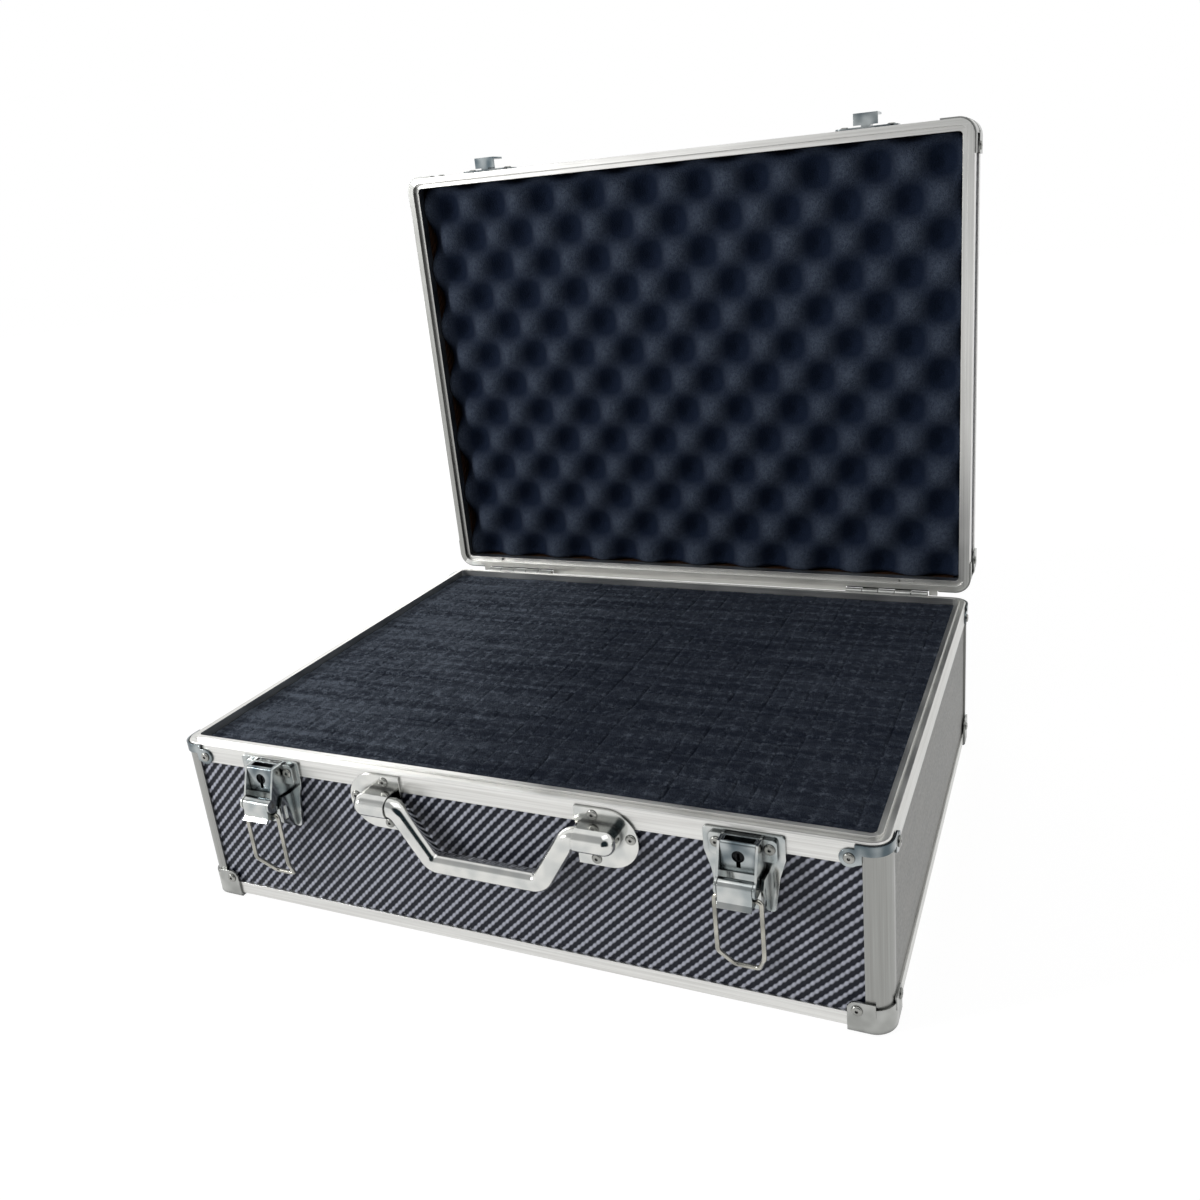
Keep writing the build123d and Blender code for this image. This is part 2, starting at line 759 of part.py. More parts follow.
def save(name, pieces):
    """Write one node: a single solid, or a group of separate ones."""
    if not isinstance(pieces, list):
        pieces = [pieces]
    solids = [solid for piece in pieces for solid in piece.solids()]
    shape = solids[0] if len(solids) == 1 else Compound(solids)
    export_step(Pos(0, -row_middle, 0) * shape, f"parts/{name}.step")


def save_base():
    """Write the nodes of the base's box."""
    for side in ("front", "back", "left", "right"):
        save(f"base_panel_{side}", base_panel(side))
        save(f"base_rim_{side}", base_rim(side))
        save(f"base_edge_{side}", base_edge(side))
    for corner, shape in at_corners(corner_post()).items():
        save(f"base_post_{corner}", shape)
    for corner, shape in at_corners(bottom_corner()).items():
        save(f"base_foot_corner_{corner}", shape)
    save("base_rim_brackets", list(at_corners(rim_bracket()).values()))
    save("base_floor_panel", base_floor())
    save("base_foam_pad", foam_pad())
    save("base_pluck_foam", pluck_foam())
    save("base_rivets", base_rivets())


def save_lid():
    """Write the nodes of the lid, turned open."""
    for side in ("front", "back", "left", "right"):
        save(f"lid_rim_{side}", opened(lid_rim(side)))
    posts, caps = lid_corner()
    for corner, shape in at_corners(posts + caps).items():
        save(f"lid_corner_{corner}", opened(shape))
    save("lid_walls", [opened(wall) for wall in lid_walls()])
    save("lid_edges", [opened(edge) for edge in lid_edges()])
    save("lid_top_panel", opened(lid_panel()))
    save("lid_foam", opened(lid_foam()))
    save("lid_rivets", [opened(head) for head in lid_rivets()])


def save_fittings():
    """Write the hinges, the handle, the latches and the catches, left and right."""
    pins = []
    latch_pins = []
    for name, sign in (("left", -1), ("right", 1)):
        hinge_x = sign * hinge_centre
        save(f"hinge_base_leaf_{name}", moved_to(hinge_base_leaf(), hinge_x))
        save(f"hinge_lid_leaf_{name}", opened(moved_to(hinge_lid_leaf(), hinge_x)))
        pins.append(moved_to(hinge_pin(), hinge_x))
        latch_x = sign * latch_centre
        latch_pins.append(moved_to(latch_pin(), latch_x))
        save(f"latch_plate_{name}", moved_to(latch_plate(), latch_x))
        save(f"lock_housing_{name}", moved_to(lock_housing(), latch_x))
        save(f"lock_plug_{name}", moved_to(lock_plug(), latch_x))
        save(f"latch_lever_{name}", moved_to(lever(), latch_x))
        save(f"latch_bail_{name}", moved_to(bail(), latch_x))
        save(f"lid_catch_{name}", opened(moved_to(catch(), latch_x)))
    mount = handle_mount()
    save("handle_mount_right", mount)
    save("handle_mount_left", mirror(mount, about=Plane.YZ))
    save("hinge_pins", pins)
    save("latch_pins", latch_pins)
    save("handle", handle())


def main():
    os.makedirs("parts", exist_ok=True)
    save_base()
    save_lid()
    save_fittings()


main()
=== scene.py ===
"""Hinged aluminium tool case: finishes for the CAD frame's metal and boards, and the foam, made here."""

import math
import random

import bmesh
import bpy
from bpy.props import FloatProperty, FloatVectorProperty, IntProperty, PointerProperty
from mathutils import Matrix, Vector


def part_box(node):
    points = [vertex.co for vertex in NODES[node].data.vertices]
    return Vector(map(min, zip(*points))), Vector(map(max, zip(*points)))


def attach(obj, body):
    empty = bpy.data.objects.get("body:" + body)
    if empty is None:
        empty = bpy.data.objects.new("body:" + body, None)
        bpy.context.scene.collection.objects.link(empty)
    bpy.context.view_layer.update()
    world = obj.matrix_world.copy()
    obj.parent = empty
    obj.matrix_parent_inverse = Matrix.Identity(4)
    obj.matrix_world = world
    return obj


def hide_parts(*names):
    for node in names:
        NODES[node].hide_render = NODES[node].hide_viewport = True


bl_info = {
    "name": "Aluminium Tool Case",
    "version": (1, 0, 0),
    "blender": (4, 5, 0),
    "location": "View3D > Sidebar > Tool Case",
    "description": "Finishes a hinged aluminium tool case and cuts its foam",
    "category": "Add Mesh",
}

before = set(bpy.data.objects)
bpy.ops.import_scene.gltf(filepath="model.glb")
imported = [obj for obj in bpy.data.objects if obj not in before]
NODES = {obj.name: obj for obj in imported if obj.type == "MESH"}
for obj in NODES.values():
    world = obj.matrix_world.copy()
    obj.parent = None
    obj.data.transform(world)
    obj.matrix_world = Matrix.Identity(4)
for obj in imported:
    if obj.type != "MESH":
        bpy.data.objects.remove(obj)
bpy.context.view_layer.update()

MM = 0.001
X, Y, Z = range(3)
SIDES = ("front", "back", "left", "right")
CORNERS = ("front_left", "front_right", "back_left", "back_right")
PAIR = ("left", "right")
FOAM_CORNER = 3.0 * MM
WHITE = (1.0, 1.0, 1.0, 1.0)
# A Mix node set to colours has its two colours in these inputs, and its result in this output.
FIRST, SECOND, MIXED = 6, 7, 2
# Most of a noise texture's values lie between these.
NOISE_SPAN = (0.3, 0.7)


def linear(hex_colour):
    """An sRGB hex colour as linear RGBA."""
    values = [int(hex_colour[i : i + 2], 16) / 255 for i in (1, 3, 5)]
    return [v / 12.92 if v <= 0.04045 else ((v + 0.055) / 1.055) ** 2.4 for v in values] + [1.0]


def colour_property(name, description, hex_colour):
    """A colour that a user can change, given as sRGB hex."""
    return FloatVectorProperty(
        name=name, description=description, size=4, subtype="COLOR",
        min=0.0, max=1.0, default=linear(hex_colour),
    )


class CaseBoardSettings(bpy.types.PropertyGroup):
    """The embossed film on the case's boards."""

    rib_pitch: FloatProperty(
        name="Rib pitch", description="Distance from one slanting rib to the next, square to the ribs",
        unit="LENGTH", default=4.8 * MM,
    )
    bead_pitch: FloatProperty(
        name="Bead pitch", description="Distance from one bead to the next along a rib",
        unit="LENGTH", default=3.9 * MM,
    )
    rib_light: colour_property("Rib", "Silver of the film's raised ribs", "#B6B9C6")
    rib_dark: colour_property("Groove", "Blue-black of the grooves between the ribs", "#090E1C")
    side_grey: colour_property("Side film", "Plain silver-grey film of the two end boards", "#989895")
    board_core: colour_property("Board core", "Sawn edge of the fibreboard", "#4A3120")


class CaseMetalSettings(bpy.types.PropertyGroup):
    """Extruded, pressed and cast metal."""

    alloy: colour_property("Rim alloy", "Satin silver of the rims and edges", "#E8E8E5")
    # The posts' darker grey is painted shade.
    post_shaded_alloy: colour_property("Post alloy", "Duller grey of the upright posts", "#A2A3A0")
    alloy_roughness: FloatProperty(
        name="Alloy roughness", description="Roughness of the satin anodised surface", subtype="FACTOR",
        min=0.0, max=1.0, default=0.34,
    )
    plate: colour_property("Bright plate", "Chrome plate on the pressings and the cast grip", "#C9CBC9")
    thin_plate: colour_property("Thin plate", "Grey of thinner, clouded chrome", "#A3AAAB")
    # Painted shade, laid in the metal's corners.
    corner_shade: colour_property("Soil", "Old oil and dust in the metal's corners", "#14191C")
    plate_roughness: FloatProperty(
        name="Plate roughness", description="Roughness of the bright plate", subtype="FACTOR",
        min=0.0, max=1.0, default=0.13,
    )
    key_steel: colour_property("Key plug", "Dark steel of the lock plugs", "#2A2B2D")
    edge_round: FloatProperty(
        name="Edge break", description="Radius that the eye sees on the metal's edges",
        unit="LENGTH", default=0.35 * MM,
    )


class CaseFoamSettings(bpy.types.PropertyGroup):
    """The cut foam of the base and the convoluted foam of the lid."""

    cell: FloatProperty(
        name="Cube size", description="Side of one pick-and-pluck cube", unit="LENGTH", default=12.0 * MM
    )
    cut_depth: FloatProperty(
        name="Cut depth", description="How deep the cuts between the cubes show",
        unit="LENGTH", default=1.8 * MM,
    )
    crate_pitch: FloatProperty(
        name="Peak pitch", description="Distance between peaks along a row",
        unit="LENGTH", default=45.0 * MM,
    )
    crate_row: FloatProperty(
        name="Row pitch", description="Distance between rows of peaks", unit="LENGTH", default=24.9 * MM
    )
    crate_depth: FloatProperty(
        name="Dimple depth", description="From the peaks to the dimples", unit="LENGTH", default=14.0 * MM
    )
    seed: IntProperty(name="Seed", description="Start of the random unevenness of the cubes", default=7)
    base_dark: colour_property("Cut foam, dark", "Shaded pores of the base foam", "#0E1421")
    base_light: colour_property("Cut foam, light", "Cut cell walls of the base foam", "#5A616C")
    lid_dark: colour_property("Lid foam, dark", "Shaded pores of the lid foam", "#151E2F")
    lid_light: colour_property("Lid foam, light", "Cut cell walls of the lid foam", "#414957")


class CaseStageSettings(bpy.types.PropertyGroup):
    """Floor, light and camera."""

    floor_colour: colour_property("Floor", "Pale paper floor", "#F4F4F4")
    sky: FloatProperty(
        name="Room light", description="Strength of the even light of the room", default=0.34, min=0.0
    )
    key_power: FloatProperty(
        name="Key lamp", description="Power of the soft box at the front left", unit="POWER", default=32.0
    )
    top_power: FloatProperty(
        name="Top lamp", description="Power of the soft box overhead", unit="POWER", default=6.0
    )
    back_power: FloatProperty(
        name="Back lamp", description="Power of the soft box behind the case", unit="POWER", default=7.0
    )
    lens: FloatProperty(
        name="Lens", description="Focal length on a 36 mm sensor", unit="CAMERA", default=31.33
    )
    camera_at: FloatVectorProperty(
        name="Camera", description="Place of the camera", subtype="TRANSLATION", unit="LENGTH",
        default=(0.30661, -0.61821, 0.41331),
    )


# Shader graphs


def add(tree, kind, inputs=(), out=0, **settings):
    """Adds a node with its settings, links or fills its inputs, and gives back one of its outputs."""
    node = tree.nodes.new("ShaderNode" + kind)
    for key, value in settings.items():
        setattr(node, key, value)
    for key, value in inputs.items() if isinstance(inputs, dict) else enumerate(inputs):
        if isinstance(value, bpy.types.NodeSocket):
            tree.links.new(value, node.inputs[key])
        else:
            node.inputs[key].default_value = value
    return node.outputs[out] if node.outputs else node


def new_material(name):
    """An empty node material, its tree and its object coordinates."""
    material = bpy.data.materials.new(name)
    material.use_nodes = True
    tree = material.node_tree
    tree.nodes.clear()
    return material, tree, add(tree, "TexCoord", out="Object")


def anodised_alloy(name, along, light, dark):
    """Aluminium, extruded and anodised: satin reflections, drawn out by die lines, with painted shade in
    its corners.

    The die lines run along one axis, or nowhere if that is None. They are drawn coarser than real ones,
    so that they show.
    """
    kit = bpy.context.scene.case_metal
    line_width, line_length, cloud, corner = 0.9 * MM, 90 * MM, 35 * MM, 1.6 * MM
    material, tree, point = new_material(name)
    stretch = [1 / line_width] * 3
    if along is not None:
        stretch[along] = 1 / line_length
    lines = add(tree, "Mapping", {"Vector": point, "Scale": stretch})
    grain = add(tree, "TexNoise", {"Vector": lines, "Scale": 1.0, "Detail": 3.0})
    patch = add(tree, "TexNoise", {"Vector": point, "Scale": 1 / cloud, "Detail": 2.0})
    drawn = add(tree, "MapRange", (grain, *NOISE_SPAN))
    colour = add(tree, "Mix", {"Factor": drawn, FIRST: dark, SECOND: light}, MIXED, data_type="RGBA")
    # Where the metal sees little sky, in its corners, painted shade darkens it.
    sky = add(tree, "AmbientOcclusion", {"Distance": corner}, "AO", samples=6)
    unpainted = add(tree, "MapRange", (sky, 0.15, 0.6))
    colour = add(tree, "Mix", {"Factor": unpainted, FIRST: kit.corner_shade, SECOND: colour}, MIXED, data_type="RGBA")
    smoother, rougher = kit.alloy_roughness - 0.05, kit.alloy_roughness + 0.06
    rough = add(tree, "MapRange", (patch, *NOISE_SPAN, smoother, rougher))
    rounded = add(tree, "Bevel", {"Radius": kit.edge_round}, samples=4)
    relief = {"Height": grain, "Strength": 0.12, "Distance": 0.1 * MM, "Normal": rounded}
    normal = add(tree, "Bump", relief)
    finish = {"Base Color": colour, "Metallic": 1.0, "Roughness": rough, "Normal": normal}
    add(tree, "OutputMaterial", (add(tree, "BsdfPrincipled", finish),))
    return material


def bright_plate(name, light, dark, roughness, wave, corner=4.5 * MM):
    """Chrome plate on pressed steel or cast zinc: sharp reflections, gently bent, and painted shade in
    its corners.

    wave is how far the metal's swells bend the reflections, and corner how far the painted shade spreads
    from a corner.
    """
    kit = bpy.context.scene.case_metal
    cloud, swell = 11 * MM, 9 * MM
    clouded = (0.3, 0.75)
    material, tree, point = new_material(name)
    dull = add(tree, "TexNoise", {"Vector": point, "Scale": 1 / cloud, "Detail": 1.0})
    sway = add(tree, "TexNoise", {"Vector": point, "Scale": 1 / swell, "Detail": 1.0})
    thin = add(tree, "MapRange", (dull, *clouded), interpolation_type="SMOOTHSTEP")
    colour = add(tree, "Mix", {"Factor": thin, FIRST: light, SECOND: dark}, MIXED, data_type="RGBA")
    # Where the metal sees little sky, in its corners, painted shade darkens it.
    sky = add(tree, "AmbientOcclusion", {"Distance": corner}, "AO", samples=8)
    unpainted = add(tree, "MapRange", (sky, 0.3, 0.85))
    colour = add(tree, "Mix", {"Factor": unpainted, FIRST: kit.corner_shade, SECOND: colour}, MIXED, data_type="RGBA")
    rough = add(tree, "MapRange", (dull, *clouded, roughness, roughness + 0.06))
    rounded = add(tree, "Bevel", {"Radius": kit.edge_round}, samples=4)
    relief = {"Height": sway, "Strength": wave, "Distance": 0.5 * MM, "Normal": rounded}
    normal = add(tree, "Bump", relief)
    finish = {"Base Color": colour, "Metallic": 1.0, "Roughness": rough, "Normal": normal}
    add(tree, "OutputMaterial", (add(tree, "BsdfPrincipled", finish),))
    return material


def key_plug_steel(name):
    """Steel, turned and blackened: a dark round face, unevenly worn, that shows little but its key slot.

    The wear is drawn coarser than real, so that it shows.
    """
    kit = bpy.context.scene.case_metal
    wear = 0.8 * MM
    material, tree, point = new_material(name)
    grain = add(tree, "TexNoise", {"Vector": point, "Scale": 1 / wear, "Detail": 2.0})
    worn = add(tree, "MapRange", (grain, *NOISE_SPAN))
    steel = {"Factor": worn, FIRST: kit.key_steel, SECOND: linear("#0B0C0E")}
    colour = add(tree, "Mix", steel, MIXED, data_type="RGBA")
    rough = add(tree, "MapRange", (grain, *NOISE_SPAN, 0.35, 0.55))
    finish = {"Base Color": colour, "Metallic": 1.0, "Roughness": rough}
    add(tree, "OutputMaterial", (add(tree, "BsdfPrincipled", finish),))
    return material


def board_plane(tree, point):
    """Where a point lies on its board: across and up, as seen from outside, for boards on any side."""
    facing = add(tree, "TexCoord", out="Normal")
    # A face counts to the axis that has more than this of its normal.
    mostly = 0.6
    across, up = 0.0, 0.0
    # Facing X it runs along Y and rises with Z, facing Y it runs back along X, and facing Z it lies flat.
    for axis, run, rise, turned in ((X, Y, Z, 1.0), (Y, X, Z, -1.0), (Z, X, Y, 0.0)):
        normal = add(tree, "SeparateXYZ", (facing,), axis)
        size = add(tree, "Math", (normal,), operation="ABSOLUTE")
        here = add(tree, "Math", (size, mostly), operation="GREATER_THAN")
        side = add(tree, "Math", (normal,), operation="SIGN")
        side = add(tree, "Math", (side, turned), operation="MULTIPLY") if turned else 1.0
        side = add(tree, "Math", (side, here), operation="MULTIPLY")
        along = add(tree, "SeparateXYZ", (point,), run)
        across = add(tree, "Math", (along, side, across), operation="MULTIPLY_ADD")
        level = add(tree, "SeparateXYZ", (point,), rise)
        up = add(tree, "Math", (level, here, up), operation="MULTIPLY_ADD")
    return across, up


def inside_box(tree, point, middle, half):
    """1 on what lies inside a box given by its middle and half size, 0 outside it."""
    away = add(tree, "VectorMath", (point, middle), operation="SUBTRACT")
    within = 1.0
    for axis in (X, Y, Z):
        reach = add(tree, "Math", (add(tree, "SeparateXYZ", (away,), axis),), operation="ABSOLUTE")
        close = add(tree, "Math", (reach, half[axis]), operation="LESS_THAN")
        within = add(tree, "Math", (close, within), operation="MULTIPLY")
    return within


def ribbed_film(name, middle, half):
    """Plastic film, embossed with slanting beaded ribs, on fibreboard: silver ribs, blue-black grooves.

    The faces inside the box given, by its middle and half size, are the board's bare brown fibre, drawn
    coarser than real, so that it shows.
    """
    kit = bpy.context.scene.case_boards
    wear_grain, fibre_width = 2.2 * MM, 0.9 * MM
    # How high the beads and the wear stand, where a rib stands 1.
    bead_share, wear_share = 0.26, 0.5
    material, tree, point = new_material(name)
    across, up = board_plane(tree, point)
    # The ribs slant at 45 degrees, so square to them it is across less up, over the root of two.
    turn = 2 * math.pi / math.sqrt(2)
    down_slope = add(tree, "Math", (across, up), operation="SUBTRACT")
    up_slope = add(tree, "Math", (across, up), operation="ADD")
    phase = add(tree, "Math", (down_slope, turn / kit.rib_pitch), operation="MULTIPLY")
    rib = add(tree, "Math", (phase,), operation="COSINE")
    # The beads of one rib sit half a pitch on from the next rib's, so the phase follows the rib's place.
    stagger = add(tree, "Math", (phase, 0.5), operation="MULTIPLY")
    bead = add(tree, "Math", (up_slope, turn / kit.bead_pitch, stagger), operation="MULTIPLY_ADD")
    bead = add(tree, "Math", (bead,), operation="COSINE")
    wear = add(tree, "TexNoise", {"Vector": point, "Scale": 1 / wear_grain, "Detail": 3.0})
    height = add(tree, "Math", (bead, bead_share, rib), operation="MULTIPLY_ADD")
    height = add(tree, "Math", (wear, wear_share, height), operation="MULTIPLY_ADD")
    groove, crest = 0.05, 1.4
    silver = add(tree, "MapRange", (height, groove, crest), interpolation_type="SMOOTHSTEP")
    ribs = {"Factor": silver, FIRST: kit.rib_dark, SECOND: kit.rib_light}
    colour = add(tree, "Mix", ribs, MIXED, data_type="RGBA")
    felt = add(tree, "TexNoise", {"Vector": point, "Scale": 1 / fibre_width, "Detail": 4.0})
    fibres = {"Factor": felt, FIRST: linear("#120C08"), SECOND: kit.board_core}
    bare = add(tree, "Mix", fibres, MIXED, data_type="RGBA")
    within = inside_box(tree, point, middle, half)
    colour = add(tree, "Mix", {"Factor": within, FIRST: colour, SECOND: bare}, MIXED, data_type="RGBA")
    # The ribs are rubbed a little smoother than the grooves.
    rubbed, in_groove = 0.42, 0.52
    rough = add(tree, "MapRange", (height, -0.4, 1.1, in_groove, rubbed))
    normal = add(tree, "Bump", {"Height": height, "Strength": 0.55, "Distance": 0.35 * MM})
    finish = {"Base Color": colour, "Roughness": rough, "Normal": normal}
    finish |= {"IOR": 1.5, "Specular IOR Level": 0.22}
    add(tree, "OutputMaterial", (add(tree, "BsdfPrincipled", finish),))
    return material


def plain_film(name):
    """Plastic film with a fine dull emboss, on fibreboard: silver-grey, faintly mottled and streaked.

    Its silver is a print with metal flake, so it shines a little like metal. The emboss is drawn coarser
    than real, so that it shows.
    """
    kit = bpy.context.scene.case_boards
    emboss = 1.6 * MM
    # The streaks are 5 mm wide and about 45 mm long, given here as streaks per metre.
    streaks = (200.0, 22.0, 200.0)
    material, tree, point = new_material(name)
    fine = add(tree, "TexNoise", {"Vector": point, "Scale": 1 / emboss, "Detail": 2.0})
    drawn = add(tree, "Mapping", {"Vector": point, "Scale": streaks})
    streak = add(tree, "TexNoise", {"Vector": drawn, "Scale": 1.0, "Detail": 3.0})
    speck = add(tree, "MapRange", (fine, *NOISE_SPAN))
    faded = add(tree, "MapRange", (streak, 0.45, 0.75, 0.0, 0.45))
    mottled = {"Factor": speck, FIRST: kit.side_grey, SECOND: linear("#8A8A88")}
    colour = add(tree, "Mix", mottled, MIXED, data_type="RGBA")
    streaked = {"Factor": faded, FIRST: colour, SECOND: linear("#A3A19C")}
    colour = add(tree, "Mix", streaked, MIXED, data_type="RGBA")
    rough = add(tree, "MapRange", (fine, *NOISE_SPAN, 0.42, 0.56))
    normal = add(tree, "Bump", {"Height": fine, "Strength": 0.25, "Distance": 0.2 * MM})
    finish = {"Base Color": colour, "Metallic": 0.2, "Roughness": rough, "IOR": 1.5, "Normal": normal}
    add(tree, "OutputMaterial", (add(tree, "BsdfPrincipled", finish),))
    return material


def fibreboard(name):
    """Fibreboard, sawn: dull brown with a felted grain, drawn coarser than real, so that it shows."""
    kit = bpy.context.scene.case_boards
    fibre_width = 0.9 * MM
    material, tree, point = new_material(name)
    felt = add(tree, "TexNoise", {"Vector": point, "Scale": 1 / fibre_width, "Detail": 4.0})
    fibres = {"Factor": felt, FIRST: linear("#3A2616"), SECOND: kit.board_core}
    colour = add(tree, "Mix", fibres, MIXED, data_type="RGBA")
    normal = add(tree, "Bump", {"Height": felt, "Strength": 0.3, "Distance": 0.3 * MM})
    finish = {"Base Color": colour, "Roughness": 0.85, "IOR": 1.45, "Normal": normal}
    add(tree, "OutputMaterial", (add(tree, "BsdfPrincipled", finish),))
    return material


def open_cell_foam(name, dark, light, clouds, shade):
    """Polyurethane foam, cut open: no gloss, and light cell walls round dark pores.

    The pores are drawn coarser than real ones, so that they show. clouds is how uneven the foam's tone
    is, and shade gives its painted light and shade by its place in the foam, with any marks of its
    cutting.
    """
    pore_width, cloud_width, grit_width = 1.1 * MM, 9 * MM, 2.6 * MM
    even_tone, wall_share, grit_share = 0.3, 0.25, 0.3
    # How high the grit stands, where a cell wall stands 1.
    grit_height = 1.2
    material, tree, point = new_material(name)
    pores = add(tree, "TexVoronoi", {"Vector": point, "Scale": 1 / pore_width}, "Distance")
    cloud = add(tree, "TexNoise", {"Vector": point, "Scale": 1 / cloud_width, "Detail": 4.0})
    grit = add(tree, "TexNoise", {"Vector": point, "Scale": 1 / grit_width, "Detail": 4.0})
    wall = add(tree, "MapRange", (pores, 0.15, 0.7), interpolation_type="SMOOTHSTEP")
    mist = add(tree, "MapRange", (cloud, *NOISE_SPAN, even_tone, even_tone + clouds))
    speck = add(tree, "MapRange", (grit, 0.35, 0.7, 0.0, grit_share))
    body = add(tree, "Math", (wall, wall_share, mist), operation="MULTIPLY_ADD")
    body = add(tree, "Math", (body, speck), operation="ADD")
    lit = add(tree, "Math", (body, shade(tree, point)), operation="MULTIPLY")
    colour = add(tree, "Mix", {"Factor": lit, FIRST: dark, SECOND: light}, MIXED, data_type="RGBA")
    height = add(tree, "Math", (grit, grit_height, wall), operation="MULTIPLY_ADD")
    normal = add(tree, "Bump", {"Height": height, "Strength": 0.7, "Distance": 0.5 * MM})
    finish = {"Base Color": colour, "Roughness": 0.97, "Normal": normal}
    finish |= {"IOR": 1.3, "Specular IOR Level": 0.2}
    add(tree, "OutputMaterial", (add(tree, "BsdfPrincipled", finish),))
    return material


def dress(material, *names):
    """Gives CAD nodes a material in all their slots."""
    for name in names:
        for slot in NODES[name].material_slots:
            slot.material = material


# Foam


def relief_block(name, low, high, xs, ys, height, to_case):
    """A closed block whose top follows height(x, y), with its four upright corners rounded.

    to_case turns a point of the block, as it lies on its back, to its place in the case.
    """
    mesh = bmesh.new()
    centre_x, centre_y = (low.x + high.x) / 2, (low.y + high.y) / 2
    reach_x, reach_y = (high.x - low.x) / 2 - FOAM_CORNER, (high.y - low.y) / 2 - FOAM_CORNER

    def rounded(x, y):
        """A point of the outline's square corners, brought in to the round ones."""
        over = Vector((abs(x - centre_x) - reach_x, abs(y - centre_y) - reach_y))
        if over.x > 0 and over.y > 0 and over.length > FOAM_CORNER:
            over *= FOAM_CORNER / over.length
            x = centre_x + math.copysign(reach_x + over.x, x - centre_x)
            y = centre_y + math.copysign(reach_y + over.y, y - centre_y)
        return x, y

    top = [[mesh.verts.new(to_case(*rounded(x, y), height(x, y))) for x in xs] for y in ys]
    bottom = [[mesh.verts.new(to_case(*rounded(x, y), low.z)) for x in xs] for y in ys]
    rows, columns = len(ys), len(xs)
    for j in range(rows - 1):
        for i in range(columns - 1):
            mesh.faces.new((top[j][i], top[j][i + 1], top[j + 1][i + 1], top[j + 1][i]))
            mesh.faces.new((bottom[j][i], bottom[j + 1][i], bottom[j + 1][i + 1], bottom[j][i + 1]))
    edge = [(0, i) for i in range(columns)] + [(j, columns - 1) for j in range(1, rows)]
    edge += [(rows - 1, i) for i in range(columns - 2, -1, -1)] + [(j, 0) for j in range(rows - 2, 0, -1)]
    for (j, i), (v, u) in zip(edge, edge[1:] + edge[:1]):
        mesh.faces.new((top[j][i], bottom[j][i], bottom[v][u], top[v][u]))
    bmesh.ops.recalc_face_normals(mesh, faces=mesh.faces)
    for face in mesh.faces:
        face.smooth = True
    data = bpy.data.meshes.new(name)
    mesh.to_mesh(data)
    mesh.free()
    piece = bpy.data.objects.new(name, data)
    bpy.context.scene.collection.objects.link(piece)
    return piece


def as_it_lies(x, y, z):
    """The place in the case of a block that lies flat in the base."""
    return x, y, z


def cube_lines(low, high, cell, shoulder):
    """Grid lines of a row of cubes: each cut, the shoulders beside it and the middle of the cube."""
    count = round((high - low) / cell)
    step = (high - low) / count
    flat = 2.2 * shoulder
    lines = [low]
    for i in range(count):
        start = low + i * step
        lines += [start + shoulder, start + flat, start + step / 2, start + step - flat]
        lines += [start + step - shoulder, start + step]
    return lines, step, count


class CASE_OT_profiles(bpy.types.Operator):
    """Gives the extruded rims, edges and posts their anodised finish"""

    bl_idname = "tool_case.profiles"
    bl_label = "Alloy profiles"

    def execute(self, context):
        kit = context.scene.case_metal
        # Painted shade: the lengths running front to back are a shade greyer, and the posts much darker.
        silver = kit.alloy, linear("#D2D1CE")
        grey = linear("#DEDEDA"), linear("#CACAC6")
        dull = kit.post_shaded_alloy, linear("#959592")
        across = anodised_alloy("aluminium_extruded_anodised_across", X, *silver)
        deep = anodised_alloy("aluminium_extruded_anodised_deep_painted_shade", Y, *grey)
        upright = anodised_alloy("aluminium_extruded_anodised_upright", Z, *silver)
        even = anodised_alloy("aluminium_extruded_anodised", None, *silver)
        post = anodised_alloy("aluminium_extruded_anodised_painted_shade", Z, *dull)
        for side in SIDES:
            run = across if side in ("front", "back") else deep
            dress(run, f"base_rim_{side}", f"base_edge_{side}")
        dress(across, "lid_rim_front", "lid_rim_back")
        dress(upright, "lid_rim_right")
        # The lid's left rim gets the posts' painted shade.
        dress(post, "lid_rim_left")
        for corner in CORNERS:
            dress(post, f"base_post_{corner}")
        dress(even, "lid_edges")
        return {"FINISHED"}


class CASE_OT_boards(bpy.types.Operator):
    """Gives the boards their film"""

    bl_idname = "tool_case.boards"
    bl_label = "Boards"

    def execute(self, context):
        # Faces that lie this far inside a box round the boards are taken as their inner faces.
        skin = 2.0 * MM
        ribbed_boards = (
            ("base", ("base_panel_front", "base_panel_back")),
            ("lid", ("lid_top_panel", "lid_walls")),
        )
        for part, names in ribbed_boards:
            corners = [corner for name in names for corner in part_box(name)]
            low = Vector([min(corner[axis] for corner in corners) for axis in (X, Y, Z)])
            high = Vector([max(corner[axis] for corner in corners) for axis in (X, Y, Z)])
            low += Vector((skin, skin, skin))
            high -= Vector((skin, skin, skin))
            # The open side shows no film: the base is open at the top, and the raised lid at its front.
            if part == "base":
                high.z += 2 * skin
            else:
                low.y -= 2 * skin
            film = f"film_embossed_ribbed_on_fibreboard_{part}"
            ribbed = ribbed_film(film, (low + high) / 2, (high - low) / 2)
            dress(ribbed, *names)
        plain = plain_film("film_embossed_plain_on_fibreboard")
        core = fibreboard("fibreboard_sawn")
        dress(plain, "base_panel_left", "base_panel_right")
        dress(core, "base_floor_panel")
        return {"FINISHED"}


